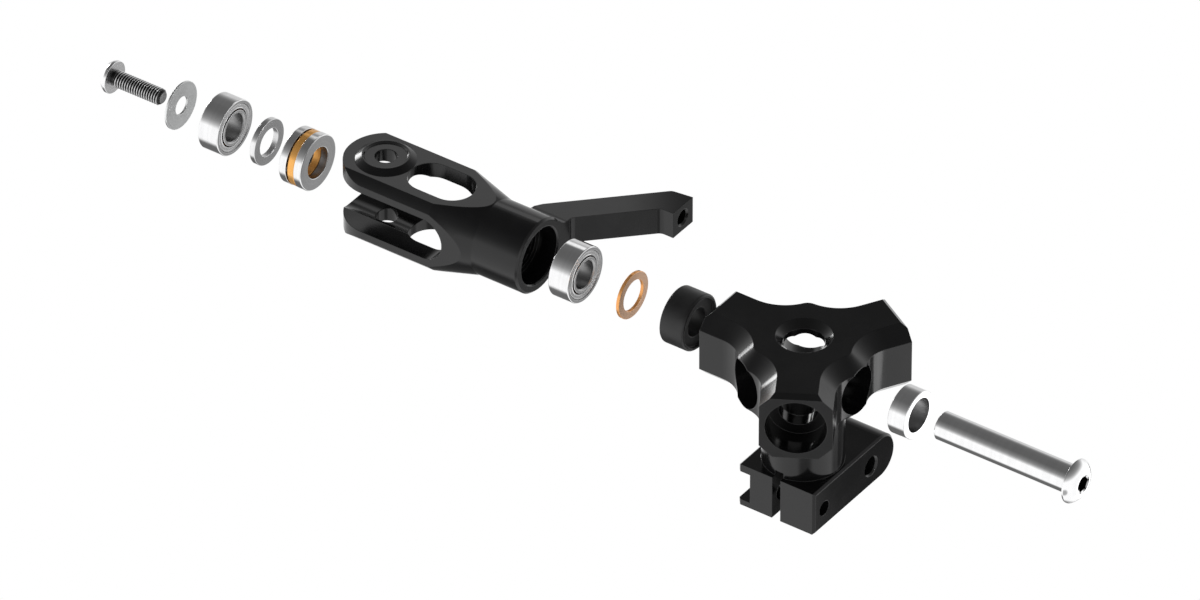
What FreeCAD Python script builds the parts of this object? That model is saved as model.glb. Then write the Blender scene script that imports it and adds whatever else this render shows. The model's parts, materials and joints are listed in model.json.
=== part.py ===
# Rotor head of a three-blade model helicopter, taken apart along one blade's spindle.
# Millimetres. Origin: mouth of the mast bore, +Z up the mast, the opened arm along -X.
# The pieces of the opened arm lie in a row on its spindle axis, as on a bench.

import FreeCAD, Part
import math
import os
import re

import Sketcher

# Driving sizes. A rest place is measured along the spindle axis from the mast axis.
driving = {
    # hub: plate with three arms, boss and split clamp block
    "spindleHeight": 26.3,
    "armCount": 3,
    "armReach": 16.5,
    "armHalfWidth": 5.98,
    "plateTop": 6.4,
    "plateBottom": 6.05,
    "topChamfer": 2.5,
    "bottomChamfer": 2.2,
    "endBevel": 0.8,
    "scoopRadius": 5.62,
    "scoopOut": 15.96,
    "valleyApex": 11.37,
    "webNear": 8.75,
    "webFar": 11.2,
    "webBoreRadius": 3.25,
    "centreHoleRadius": 3.45,
    "centreSinkRadius": 4.7,
    "bossRadius": 6.85,
    "bossFillet": 1.0,
    "mastRadius": 4.0,
    "mastDepth": 21.1,
    "blockHeight": 8.2,
    "blockHalfWidth": 7.5,
    "blockFront": 7.62,
    "blockBack": 15.6,
    "blockChamfer": 0.4,
    "slitWidth": 1.62,
    "slitRise": 1.0,
    "channelDepth": 2.3,
    "channelFloor": 1.1,
    "channelRoof": 6.75,
    "clampHoleOut": 4.75,
    "clampHoleHeight": 3.8,
    "clampTapRadius": 1.35,
    "clampClearRadius": 1.6,
    "followerHoleOut": 8.7,
    "followerHoleHeight": 4.0,
    "followerHoleRadius": 1.6,
    "followerSink": 0.3,
    # fits
    "shaftGap": 0.03,
    "boreGap": 0.05,
    "ballGap": 0.04,
    # spindle with its domed head and tapped tip
    "spindleLength": 25.6,
    "spindleHeadRadius": 3.8,
    "spindleHeadLip": 0.6,
    "spindleHeadHeight": 1.75,
    "spindleHeadFlat": 1.9,
    "spindleDomeRadius": 3.2,
    "spindleSocketFlats": 2.5,
    "spindleSocketDepth": 1.6,
    "tapDepth": 10.2,
    "tipChamfer": 0.4,
    # screw and washer at the spindle's tip
    "screwRadius": 1.45,
    "screwLength": 10.0,
    "screwHeadRadius": 2.9,
    "screwHeadLip": 0.5,
    "screwHeadHeight": 1.85,
    "screwHeadFlat": 1.5,
    "screwDomeRadius": 2.2,
    "screwSocketFlats": 2.0,
    "screwSocketDepth": 1.0,
    "washerRadius": 4.3,
    "washerHole": 1.65,
    "washerThickness": 0.35,
    # radial ball bearings, both the same
    "bearingBore": 2.5,
    "bearingRadius": 5.0,
    "bearingWidth": 4.0,
    "bearingChamfer": 0.2,
    "innerLand": 3.2,
    "outerLand": 4.3,
    "ballRadius": 0.8,
    "ballPitch": 3.75,
    "ballCount": 8,
    "cageHalfWall": 0.25,
    "cageHalfWidth": 1.1,
    "shieldInset": 0.15,
    "shieldThickness": 0.15,
    "shieldBore": 3.35,
    # thrust bearing
    "thrustLength": 4.5,
    "thrustRace": 1.45,
    "thrustShaftBore": 2.53,
    "thrustHousingBore": 2.8,
    "thrustBallRadius": 1.0,
    "thrustBallPitch": 3.8,
    "thrustCageBore": 2.62,
    "thrustCageRadius": 4.95,
    "thrustCageHalf": 0.55,
    # plain rings
    "spacerRadius": 4.15,
    "spacerLength": 1.0,
    "shimRadius": 4.2,
    "shimBore": 2.8,
    "shimThickness": 0.6,
    "damperRadius": 5.0,
    "damperLength": 4.7,
    "damperLip": 0.3,
    "damperSinkRadius": 4.4,
    "damperSinkDepth": 0.6,
    "bushRadius": 4.2,
    "bushBore": 3.0,
    "bushLength": 3.3,
    "bushChamfer": 0.3,
    # blade grip
    "barrelRadius": 6.7,
    "barrelLength": 9.14,
    "barrelChamfer": 0.35,
    "coneAngle": 15.0,
    "rootRadius": 8.89,
    "earHalfWidth": 7.15,
    "earTop": 6.75,
    "bladeHoleOut": 31.0,
    "bladeHoleRadius": 1.9,
    "bossBaseRadius": 5.15,
    "bossTopRadius": 4.0,
    "bossHeight": 0.85,
    "sinkTopRadius": 3.75,
    "sinkFloorRadius": 3.5,
    "sinkDepth": 0.35,
    "forkHalfGap": 3.95,
    "forkArchOut": 18.7,
    "slotHalfWidth": 3.95,
    "slotNear": 17.55,
    "slotFar": 21.9,
    "seatDepth": 3.75,
    "gripWeb": 0.6,
    "gripWebBore": 4.0,
    "mouthChamfer": 0.25,
    # pitch arm on the grip
    "pitchHalfThickness": 2.5,
    "pitchWidth": 4.6,
    "pitchRise": 8.8,
    "pitchRootWidth": 6.9,
    "pitchElbow": 9.3,
    "linkFace": 13.0,
    "linkOut": 22.2,
    "linkHalfHeight": 2.8,
    "linkSlope": 0.5,
    "linkHoleRadius": 1.25,
    "linkHoleDepth": 4.5,
    "linkSink": 0.35,
    "pitchFillet": 1.5,
    "pitchRootFillet": 3.0,
    # rest places of the opened arm's pieces
    "damperRest": 20.5,
    "shimRest": 33.7,
    "innerBearingRest": 43.3,
    "gripRest": 52.4,
    "thrustRest": 97.3,
    "spacerRest": 107.3,
    "outerBearingRest": 114.3,
    "washerRest": 125.3,
    "screwRest": 129.1,
    "bushRest": 19.2,
    "spindleRest": 27.0,
}

# Sizes that follow from the driving ones.
derived = {
    "plateFloor": "spindleHeight - plateBottom",
    "plateRoof": "spindleHeight + plateTop",
    "scoopSide": "2 * (scoopOut * cos(30) - armHalfWidth - scoopRadius)",
    "bumpGap": "scoopOut - valleyApex",
    "bumpRadius": "(bumpGap^2 + scoopSide^2 - scoopRadius^2) / (2 * (scoopRadius - bumpGap))",
    "bumpCentre": "valleyApex - bumpRadius",
    "bumpShare": "bumpRadius / (bumpRadius + scoopRadius)",
    "pocketRadius": "bushRadius + boreGap",
    "damperBoreRadius": "damperRadius + boreGap",
    "blockRound": "blockHeight / 2",
    "spindleRadius": "bearingBore - shaftGap",
    "tapRadius": "screwRadius + boreGap",
    "ballMiddle": "bearingWidth / 2",
    "grooveRadius": "ballRadius + ballGap",
    "innerGroove": "sqrt(grooveRadius^2 - (ballPitch - innerLand)^2)",
    "outerGroove": "sqrt(grooveRadius^2 - (outerLand - ballPitch)^2)",
    "thrustMiddle": "thrustLength / 2",
    "thrustGrooveRadius": "thrustBallRadius + ballGap",
    "thrustGroove": "sqrt(thrustGrooveRadius^2 - (thrustMiddle - thrustRace)^2)",
    "damperBore": "bearingBore + boreGap",
    "coneEnd": "barrelLength + (rootRadius - barrelRadius) / tan(coneAngle)",
    "gripLength": "bladeHoleOut + earHalfWidth",
    "gripSeat": "bearingRadius + boreGap",
    "pitchFar": "pitchRise + pitchWidth * sqrt(2)",
    "rootFilletUp": "pitchHalfThickness + pitchRootFillet",
    "rootFilletOut": "sqrt((barrelRadius + pitchRootFillet)^2 - rootFilletUp^2)",
    "rootTouchOut": "rootFilletOut * barrelRadius / (barrelRadius + pitchRootFillet)",
    "rootTouchUp": "rootFilletUp * barrelRadius / (barrelRadius + pitchRootFillet)",
    "linkTop": "linkOut + linkHalfHeight",
    "linkBottom": "linkOut - linkHalfHeight",
    "past": "5 * blockChamfer",
}

doc = FreeCAD.newDocument("rotor_hub")
sheet = doc.addObject("Spreadsheet::Sheet", "sizes")
for rowNumber, (alias, size) in enumerate(driving.items(), start=1):
    sheet.set("A%d" % rowNumber, alias)
    sheet.set("B%d" % rowNumber, str(size))
    sheet.setAlias("B%d" % rowNumber, alias)
doc.recompute()

subParts = []

# What a sketch calls the ends and the centre of an edge
startPoint, endPoint, centrePoint = range(1, 4)


# Formulas: a driving size becomes its cell, a derived size its own formula in brackets.
def expand(formula):
    def swap(found):
        word = found.group()
        if word in derived:
            return "(" + expand(derived[word]) + ")"
        return "sizes." + word if word in driving else word
    return re.sub(r"[A-Za-z]\w*", swap, formula)


def number(formula):
    return float(sheet.evalExpression(expand(formula)))


def bind(thing, path, formula):
    thing.setExpression(path, expand(formula))


# Bodies and sketches
def newBody(label, along="0", height="spindleHeight"):
    body = doc.addObject("PartDesign::Body", label)
    body.Label = label
    body.AllowCompound = True
    bind(body, "Placement.Base.x", along)
    bind(body, "Placement.Base.z", height)
    subParts.append(body)
    return body


def originPart(body, role):
    return next(item for item in body.Origin.OriginFeatures if item.Role == role)


def attach(thing, body, role, offset):
    thing.AttachmentSupport = [(originPart(body, role), "")]
    thing.MapMode = "FlatFace"
    for direction, formula in offset.items():
        bind(thing, "AttachmentOffset.Base." + direction, formula)


def newSketch(body, role, offset=None):
    sketch = body.newObject("Sketcher::SketchObject", body.Label + "_sketch")
    attach(sketch, body, role, offset or {})
    return sketch


def fixPoint(sketch, geometry, end, place):
    for kind, axis, formula in (("DistanceX", -2, place[0]), ("DistanceY", -1, place[1])):
        if formula == "0":
            sketch.addConstraint(Sketcher.Constraint("PointOnObject", geometry, end, axis))
            continue
        rule = Sketcher.Constraint(kind, -1, 1, geometry, end, number(formula))
        bind(sketch, "Constraints[%d]" % sketch.addConstraint(rule), formula)


def fixRadius(sketch, geometry, formula):
    rule = Sketcher.Constraint("Radius", geometry, number(formula))
    bind(sketch, "Constraints[%d]" % sketch.addConstraint(rule), formula)


def arcBetween(start, stop, radius, turn):
    chord = stop - start
    side = 1 if turn == "left" else -1
    rise = math.sqrt(max(radius ** 2 - chord.Length ** 2 / 4, 0)) * side
    across = FreeCAD.Vector(-chord.y, chord.x, 0).normalize()
    centre = start + chord * 0.5 + across * rise
    first, last = (start, stop) if turn == "left" else (stop, start)
    angles = [math.atan2(point.y - centre.y, point.x - centre.x) for point in (first, last)]
    circle = Part.Circle(centre, FreeCAD.Vector(0, 0, 1), radius)
    return Part.ArcOfCircle(circle, *angles)


# A closed outline. A corner is (x, y), or (x, y, radius, turn) where an arc leaves it.
def outline(sketch, corners):
    points = [FreeCAD.Vector(number(corner[0]), number(corner[1]), 0) for corner in corners]
    edges = []
    for index, corner in enumerate(corners):
        start = points[index]
        stop = points[(index + 1) % len(points)]
        if len(corner) == len("xy"):
            line = Part.LineSegment(start, stop)
            edges.append((sketch.addGeometry(line, False), startPoint, endPoint))
            continue
        arc = arcBetween(start, stop, number(corner[2]), corner[3])
        ends = (startPoint, endPoint) if corner[3] == "left" else (endPoint, startPoint)
        edges.append((sketch.addGeometry(arc, False), *ends))
    for index, (geometry, first, last) in enumerate(edges):
        following = edges[(index + 1) % len(edges)]
        sketch.addConstraint(Sketcher.Constraint("Coincident", geometry, last, *following[:2]))
        fixPoint(sketch, geometry, first, corners[index])
        if len(corners[index]) > len("xy"):
            fixRadius(sketch, geometry, corners[index][2])


def circle(sketch, radius, place=("0", "0")):
    centre = FreeCAD.Vector(number(place[0]), number(place[1]), 0)
    shape = Part.Circle(centre, FreeCAD.Vector(0, 0, 1), number(radius))
    geometry = sketch.addGeometry(shape, False)
    fixPoint(sketch, geometry, centrePoint, place)
    fixRadius(sketch, geometry, radius)


def rectangle(left, bottom, right, top):
    return [(left, bottom), (right, bottom), (right, top), (left, top)]


# Features
def feature(body, kind, name, sketch):
    made = body.newObject("PartDesign::" + kind, name)
    made.Profile = sketch
    return made


def spin(body, kind, name, sketch, axis="H_Axis"):
    made = feature(body, kind, name, sketch)
    made.ReferenceAxis = (sketch, [axis])
    return made


def extrude(body, kind, name, sketch, length=None, symmetric=False, reversed_=False):
    made = feature(body, kind, name, sketch)
    if length:
        bind(made, "Length", length)
    else:
        made.Type = "ThroughAll"
    if symmetric:
        made.SideType = "Symmetric"
    made.Reversed = reversed_
    return made


def dress(body, kind, name, size, wanted):
    doc.recompute()
    base = body.Tip
    edges = enumerate(base.Shape.Edges, start=1)
    picked = ["Edge%d" % place for place, edge in edges if wanted(edge)]
    made = body.newObject("PartDesign::" + kind, name)
    made.Base = (base, picked)
    bind(made, "Size" if kind == "Chamfer" else "Radius", size)
    return made


def polar(body, name, original, axis, count):
    made = body.newObject("PartDesign::PolarPattern", name)
    made.Originals = [original]
    made.Axis = (originPart(body, axis), [""])
    made.Angle = 360
    bind(made, "Occurrences", count)
    body.Tip = made
    return made


# A piece turned about the spindle axis: corners are (along the axis, radius).
def turned(label, along, *profiles):
    body = newBody(label, along)
    sketch = newSketch(body, "XZ_Plane")
    for corners in profiles:
        outline(sketch, corners)
    spin(body, "Revolution", label + "_turned", sketch)
    return body


# A bore or counterbore cut about an axis: corners are (along the axis, radius).
def boreOut(body, name, corners, role="XZ_Plane", offset=None, axis="H_Axis"):
    sketch = newSketch(body, role, offset)
    outline(sketch, corners)
    return spin(body, "Groove", name, sketch, axis)


def turnedBy(out, side, angle):
    x = "(%s) * cos(%d) - (%s) * sin(%d)" % (out, angle, side, angle)
    y = "(%s) * sin(%d) + (%s) * cos(%d)" % (out, angle, side, angle)
    return tuple("0" if abs(number(formula)) < 1e-9 else formula for formula in (x, y))


def hexSocket(body, name, flats, depth, face, reversed_):
    sketch = newSketch(body, "YZ_Plane", {"z": face})
    outline(sketch, [turnedBy(flats + " / 2 / cos(30)", "0", angle) for angle in range(0, 360, 60)])
    extrude(body, "Pocket", name, sketch, depth, reversed_=reversed_)


def ring(label, along, radius, bore, length, chamfer):
    return turned(label, along, [
        ("0", bore), ("0", radius + " - " + chamfer), ("-" + chamfer, radius),
        ("-(%s) + %s" % (length, chamfer), radius), ("-(%s)" % length, radius + " - " + chamfer),
        ("-(%s)" % length, bore)])


# Hub
def hubOutline():
    corners = []
    joinOut = "bumpCentre + (scoopOut - bumpCentre) * bumpShare"
    joinSide = "scoopSide * bumpShare"
    armOut = "scoopOut - scoopRadius * cos(30)"
    armSide = "scoopSide + scoopRadius * sin(30)"
    for valley in (0, 120, 240):
        corners.append((*turnedBy(armOut, "-(" + armSide + ")", valley), "scoopRadius", "right"))
        corners.append((*turnedBy(joinOut, "-(" + joinSide + ")", valley), "bumpRadius", "left"))
        corners.append((*turnedBy(joinOut, joinSide, valley), "scoopRadius", "right"))
        corners.append(turnedBy(armOut, armSide, valley))
        corners.append(turnedBy("armReach", "-armHalfWidth", valley + 60))
        corners.append(turnedBy("armReach", "armHalfWidth", valley + 60))
    return corners


def atHeight(edge, formula):
    return all(abs(vertex.Z - number(formula)) < 1e-4 for vertex in edge.Vertexes)


def onArmEnd(edge):
    middle = edge.CenterOfMass
    return abs(math.hypot(middle.x, middle.y) - number("armReach")) < 1e-3


def makeHub():
    body = newBody("hub", height="0")
    sketch = newSketch(body, "XY_Plane", {"z": "plateFloor"})
    outline(sketch, hubOutline())
    extrude(body, "Pad", "plate", sketch, "plateTop + plateBottom")
    dress(body, "Chamfer", "plate_top_chamfer", "topChamfer",
          lambda edge: atHeight(edge, "plateRoof") and not onArmEnd(edge))
    dress(body, "Chamfer", "plate_bottom_chamfer", "bottomChamfer",
          lambda edge: atHeight(edge, "plateFloor") and not onArmEnd(edge))
    dress(body, "Chamfer", "arm_end_bevel", "endBevel",
          lambda edge: atHeight(edge, "plateRoof") and onArmEnd(edge))
    sketch = newSketch(body, "XY_Plane", {"z": "blockHeight"})
    circle(sketch, "bossRadius")
    extrude(body, "Pad", "boss", sketch, "plateFloor - blockHeight")
    dress(body, "Fillet", "boss_fillet", "bossFillet",
          lambda edge: atHeight(edge, "plateFloor") and "Circle" in str(edge.Curve)
          and abs(edge.Curve.Radius - number("bossRadius")) < 1e-4)
    addClampBlock(body)
    boreOut(body, "mast_bore", rectangle("0", "-past", "mastRadius", "mastDepth"), axis="V_Axis")
    boreOut(body, "centre_hole", [
        ("0", "plateRoof + past"), ("centreSinkRadius + past", "plateRoof + past"),
        ("centreHoleRadius", "plateRoof - centreSinkRadius + centreHoleRadius"),
        ("centreHoleRadius", "spindleHeight"), ("0", "spindleHeight")], axis="V_Axis")
    armBore = boreOut(body, "arm_bore", [
        ("valleyApex + past", "0"), ("valleyApex + past", "pocketRadius"), ("-webNear", "pocketRadius"),
        ("-webNear", "webBoreRadius"), ("-webFar", "webBoreRadius"), ("-webFar", "damperBoreRadius"),
        ("-armReach - past", "damperBoreRadius"), ("-armReach - past", "0")],
        offset={"y": "spindleHeight"})
    polar(body, "arm_bores", armBore, "Z_Axis", "armCount")
    cutClamp(body)


def addClampBlock(body):
    sketch = newSketch(body, "YZ_Plane")
    outline(sketch, [
        ("-blockFront", "0"), ("blockBack - blockRound", "0", "blockRound", "left"),
        ("blockBack", "blockRound", "blockRound", "left"), ("blockBack - blockRound", "blockHeight"),
        ("-blockFront", "blockHeight")])
    extrude(body, "Pad", "clamp_block", sketch, "2 * blockHalfWidth", symmetric=True)
    dress(body, "Chamfer", "block_chamfer", "blockChamfer",
          lambda edge: all(abs(abs(vertex.X) - number("blockHalfWidth")) < 1e-4
                           and vertex.Z < number("blockHeight") + 1e-4 for vertex in edge.Vertexes)
          and abs(edge.CenterOfMass.x) > number("blockHalfWidth") - 1e-4)


def cutClamp(body):
    sketch = newSketch(body, "XZ_Plane")
    outline(sketch, rectangle("-blockHalfWidth - past", "channelFloor",
                              "-blockHalfWidth + channelDepth", "channelRoof"))
    extrude(body, "Pocket", "side_channel", sketch, symmetric=True)
    sketch = newSketch(body, "XY_Plane")
    outline(sketch, rectangle("-slitWidth / 2", "-blockFront - past", "slitWidth / 2", "-mastRadius / 2"))
    extrude(body, "Pocket", "clamp_slit", sketch, "blockHeight + slitRise", reversed_=True)
    boreOut(body, "clamp_screw_hole", [
        ("-blockHalfWidth", "0"), ("-blockHalfWidth", "clampClearRadius"), ("0", "clampClearRadius"),
        ("0", "clampTapRadius"), ("blockHalfWidth + past", "clampTapRadius"), ("blockHalfWidth + past", "0")],
        role="XY_Plane", offset={"y": "-clampHoleOut", "z": "clampHoleHeight"})
    boreOut(body, "follower_hole", [
        ("-blockHalfWidth", "0"), ("-blockHalfWidth", "followerHoleRadius"),
        ("blockHalfWidth - followerSink", "followerHoleRadius"),
        ("blockHalfWidth + past", "followerHoleRadius + followerSink + past"),
        ("blockHalfWidth + past", "0")],
        role="XY_Plane", offset={"y": "followerHoleOut", "z": "followerHoleHeight"})


# Blade grip
def makeGrip():
    body = turned("blade_grip", "-gripRest", [
        ("0", "0"), ("0", "barrelRadius - barrelChamfer"), ("-barrelChamfer", "barrelRadius"),
        ("-barrelLength", "barrelRadius"), ("-coneEnd", "rootRadius"), ("-gripLength - past", "rootRadius"),
        ("-gripLength - past", "0")])
    sketch = newSketch(body, "XY_Plane")
    outline(sketch, [
        ("-barrelLength", "earHalfWidth"), ("-bladeHoleOut", "earHalfWidth", "earHalfWidth", "left"),
        ("-gripLength", "0", "earHalfWidth", "left"), ("-bladeHoleOut", "-earHalfWidth"),
        ("-barrelLength", "-earHalfWidth"), ("-barrelLength", "-rootRadius - past"),
        ("-gripLength - 2 * past", "-rootRadius - past"), ("-gripLength - 2 * past", "rootRadius + past"),
        ("-barrelLength", "rootRadius + past")])
    extrude(body, "Pocket", "ear_outline", sketch, symmetric=True)
    sketch = newSketch(body, "XZ_Plane")
    for low, high in (("earTop", "rootRadius + past"), ("-rootRadius - past", "-earTop")):
        outline(sketch, rectangle("-gripLength - 2 * past", low, "-barrelLength", high))
    extrude(body, "Pocket", "ear_flats", sketch, symmetric=True)
    addBladeBosses(body)
    addPitchArm(body)
    cutFork(body)
    boreOut(body, "bearing_bores", [
        ("past", "0"), ("past", "gripSeat + mouthChamfer + past"), ("-mouthChamfer", "gripSeat"),
        ("-seatDepth", "gripSeat"), ("-seatDepth", "gripWebBore"),
        ("-seatDepth - gripWeb", "gripWebBore"), ("-seatDepth - gripWeb", "gripSeat"),
        ("-gripLength - past", "gripSeat"), ("-gripLength - past", "0")])
    boreOut(body, "link_hole", [
        ("linkFace - linkHoleDepth", "0"), ("linkFace - linkHoleDepth", "linkHoleRadius"),
        ("linkFace - linkSink", "linkHoleRadius"), ("linkFace + past", "linkHoleRadius + linkSink + past"),
        ("linkFace + past", "0")], role="XY_Plane", offset={"y": "linkOut"})


def addBladeBosses(body):
    sketch = newSketch(body, "XZ_Plane", {"x": "-bladeHoleOut"})
    for sign in ("", "-"):
        outline(sketch, [
            ("0", sign + "(earTop - bossHeight)"), ("bossBaseRadius", sign + "(earTop - bossHeight)"),
            ("bossBaseRadius", sign + "earTop"), ("bossTopRadius", sign + "(earTop + bossHeight)"),
            ("sinkTopRadius", sign + "(earTop + bossHeight)"),
            ("sinkFloorRadius", sign + "(earTop + bossHeight - sinkDepth)"),
            ("0", sign + "(earTop + bossHeight - sinkDepth)")])
    spin(body, "Revolution", "blade_bosses", sketch, "V_Axis")


def addPitchArm(body):
    sketch = newSketch(body, "XY_Plane")
    outline(sketch, [
        ("0", "gripSeat - 1"), ("0", "pitchRise"), ("linkBottom - pitchRise", "linkBottom"),
        ("linkFace", "linkBottom"), ("linkFace", "linkTop"),
        ("linkTop - linkSlope - pitchFar", "linkTop - linkSlope"),
        ("pitchElbow - pitchFar", "pitchElbow"), ("-pitchRootWidth", "rootFilletOut"),
        ("-pitchRootWidth", "gripSeat - 1")])
    extrude(body, "Pad", "pitch_arm", sketch, "2 * pitchHalfThickness", symmetric=True)
    bends = [("0", "pitchRise"), ("linkBottom - pitchRise", "linkBottom"),
             ("linkTop - linkSlope - pitchFar", "linkTop - linkSlope")]
    bends = [(number(x), number(y)) for x, y in bends]
    dress(body, "Fillet", "pitch_arm_bends", "pitchFillet",
          lambda edge: any(all(math.hypot(vertex.X - x, vertex.Y - y) < 1e-3 for vertex in edge.Vertexes)
                           for x, y in bends))
    sketch = newSketch(body, "YZ_Plane")
    outline(sketch, [
        ("rootTouchOut", "rootTouchUp", "pitchRootFillet", "left"), ("rootFilletOut", "pitchHalfThickness"),
        ("rootFilletOut", "-pitchHalfThickness", "pitchRootFillet", "left"), ("rootTouchOut", "-rootTouchUp"),
        ("barrelRadius / 2", "-rootTouchUp"), ("barrelRadius / 2", "rootTouchUp")])
    extrude(body, "Pad", "pitch_arm_root", sketch, "pitchRootWidth", reversed_=True)


def cutFork(body):
    sketch = newSketch(body, "XZ_Plane")
    outline(sketch, [
        ("-gripLength - past", "-forkHalfGap"), ("-forkArchOut", "-forkHalfGap", "forkHalfGap", "left"),
        ("-forkArchOut + forkHalfGap", "0", "forkHalfGap", "left"), ("-forkArchOut", "forkHalfGap"),
        ("-gripLength - past", "forkHalfGap")])
    extrude(body, "Pocket", "fork_gap", sketch, symmetric=True)
    sketch = newSketch(body, "XY_Plane")
    outline(sketch, [
        ("-slotFar", "-slotHalfWidth"), ("-slotNear", "-slotHalfWidth", "slotHalfWidth", "left"),
        ("-slotNear + slotHalfWidth", "0", "slotHalfWidth", "left"), ("-slotNear", "slotHalfWidth"),
        ("-slotFar", "slotHalfWidth", "slotHalfWidth", "left"),
        ("-slotFar - slotHalfWidth", "0", "slotHalfWidth", "left")])
    extrude(body, "Pocket", "ear_slots", sketch, symmetric=True)
    sketch = newSketch(body, "XY_Plane")
    circle(sketch, "bladeHoleRadius", ("-bladeHoleOut", "0"))
    extrude(body, "Pocket", "blade_hole", sketch, symmetric=True)


# Bearings
def balls(label, along, radius, middle, pitch):
    body = newBody(label, along)
    ball = body.newObject("PartDesign::AdditiveSphere", label + "_first")
    attach(ball, body, "XZ_Plane", {"x": "-" + middle, "y": pitch})
    bind(ball, "Radius", radius)
    polar(body, label + "_all", ball, "X_Axis", "ballCount")


def cutBallPockets(body, radius, middle, pitch):
    pocket = body.newObject("PartDesign::SubtractiveSphere", body.Label + "_pocket")
    attach(pocket, body, "XZ_Plane", {"x": "-" + middle, "y": pitch})
    bind(pocket, "Radius", radius)
    polar(body, body.Label + "_pockets", pocket, "X_Axis", "ballCount")


def makeBearing(name, rest):
    along = "-" + rest
    turned(name + "_inner_race", along, [
        ("0", "bearingBore + bearingChamfer"), ("0", "innerLand"),
        ("-ballMiddle + innerGroove", "innerLand", "grooveRadius", "right"),
        ("-ballMiddle - innerGroove", "innerLand"), ("-bearingWidth", "innerLand"),
        ("-bearingWidth", "bearingBore + bearingChamfer"), ("-bearingWidth + bearingChamfer", "bearingBore"),
        ("-bearingChamfer", "bearingBore")])
    turned(name + "_outer_race", along, [
        ("0", "outerLand"), ("0", "bearingRadius - bearingChamfer"), ("-bearingChamfer", "bearingRadius"),
        ("-bearingWidth + bearingChamfer", "bearingRadius"),
        ("-bearingWidth", "bearingRadius - bearingChamfer"), ("-bearingWidth", "outerLand"),
        ("-ballMiddle - outerGroove", "outerLand", "grooveRadius", "right"),
        ("-ballMiddle + outerGroove", "outerLand")])
    balls(name + "_balls", along, "ballRadius", "ballMiddle", "ballPitch")
    cage = turned(name + "_cage", along, rectangle(
        "-ballMiddle - cageHalfWidth", "ballPitch - cageHalfWall",
        "-ballMiddle + cageHalfWidth", "ballPitch + cageHalfWall"))
    cutBallPockets(cage, "ballRadius + boreGap", "ballMiddle", "ballPitch")
    turned(name + "_shields", along, *[
        rectangle(low, "shieldBore", low + " + shieldThickness", "outerLand - shaftGap")
        for low in ("-shieldInset - shieldThickness", "-bearingWidth + shieldInset")])


def makeThrustBearing():
    along = "-thrustRest"
    turned("thrust_housing_race", along, [
        ("0", "thrustHousingBore"), ("0", "bearingRadius - bearingChamfer"),
        ("-bearingChamfer", "bearingRadius"), ("-thrustRace", "bearingRadius"),
        ("-thrustRace", "thrustBallPitch + thrustGroove", "thrustGrooveRadius", "right"),
        ("-thrustRace", "thrustBallPitch - thrustGroove"), ("-thrustRace", "thrustHousingBore")])
    turned("thrust_shaft_race", along, [
        ("-thrustLength", "thrustShaftBore"), ("-thrustLength", "bearingRadius - bearingChamfer"),
        ("-thrustLength + bearingChamfer", "bearingRadius"), ("-thrustLength + thrustRace", "bearingRadius"),
        ("-thrustLength + thrustRace", "thrustBallPitch + thrustGroove", "thrustGrooveRadius", "left"),
        ("-thrustLength + thrustRace", "thrustBallPitch - thrustGroove"),
        ("-thrustLength + thrustRace", "thrustShaftBore")])
    balls("thrust_balls", along, "thrustBallRadius", "thrustMiddle", "thrustBallPitch")
    cage = turned("thrust_cage", along, rectangle(
        "-thrustMiddle - thrustCageHalf", "thrustCageBore",
        "-thrustMiddle + thrustCageHalf", "thrustCageRadius"))
    sketch = newSketch(cage, "YZ_Plane")
    circle(sketch, "thrustBallRadius + boreGap", ("0", "thrustBallPitch"))
    hole = extrude(cage, "Pocket", "thrust_cage_hole", sketch, symmetric=True)
    polar(cage, "thrust_cage_holes", hole, "X_Axis", "ballCount")


# Shaft pieces and plain rings
def makeSpindle():
    head = "spindleLength + spindleHeadHeight"
    body = turned("spindle", "spindleRest", [
        ("0", "tapRadius"), ("0", "spindleRadius - tipChamfer"), ("tipChamfer", "spindleRadius"),
        ("spindleLength", "spindleRadius"), ("spindleLength", "spindleHeadRadius"),
        ("spindleLength + spindleHeadLip", "spindleHeadRadius", "spindleDomeRadius", "right"),
        (head, "spindleHeadFlat"), (head, "0"), ("tapDepth + tapRadius / 2", "0"), ("tapDepth", "tapRadius")])
    hexSocket(body, "spindle_socket", "spindleSocketFlats", "spindleSocketDepth", head, False)


def makeScrew():
    head = "-screwLength - screwHeadHeight"
    body = turned("retaining_screw", "-screwRest", [
        ("0", "0"), ("0", "screwRadius - tipChamfer"), ("-tipChamfer", "screwRadius"),
        ("-screwLength", "screwRadius"), ("-screwLength", "screwHeadRadius"),
        ("-screwLength - screwHeadLip", "screwHeadRadius", "screwDomeRadius", "left"),
        (head, "screwHeadFlat"), (head, "0")])
    hexSocket(body, "screw_socket", "screwSocketFlats", "screwSocketDepth", head, True)


def makeRings():
    ring("washer", "-washerRest", "washerRadius", "washerHole", "washerThickness", "washerThickness / 5")
    ring("bearing_spacer", "-spacerRest", "spacerRadius", "thrustShaftBore", "spacerLength",
         "bearingChamfer / 2")
    ring("copper_shim", "-shimRest", "shimRadius", "shimBore", "shimThickness", "shimThickness / 6")
    turned("hub_bush", "bushRest", [
        ("0", "bushBore"), ("0", "bushRadius"), ("bushLength - bushChamfer", "bushRadius"),
        ("bushLength", "bushRadius - bushChamfer"), ("bushLength", "bushBore")])
    turned("damper", "-damperRest", [
        ("-damperSinkDepth", "damperBore"), ("-damperSinkDepth", "damperSinkRadius"),
        ("0", "damperSinkRadius"), ("0", "damperRadius - damperLip"), ("-damperLip", "damperRadius"),
        ("-damperLength", "damperRadius"), ("-damperLength", "damperBore")])


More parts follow.
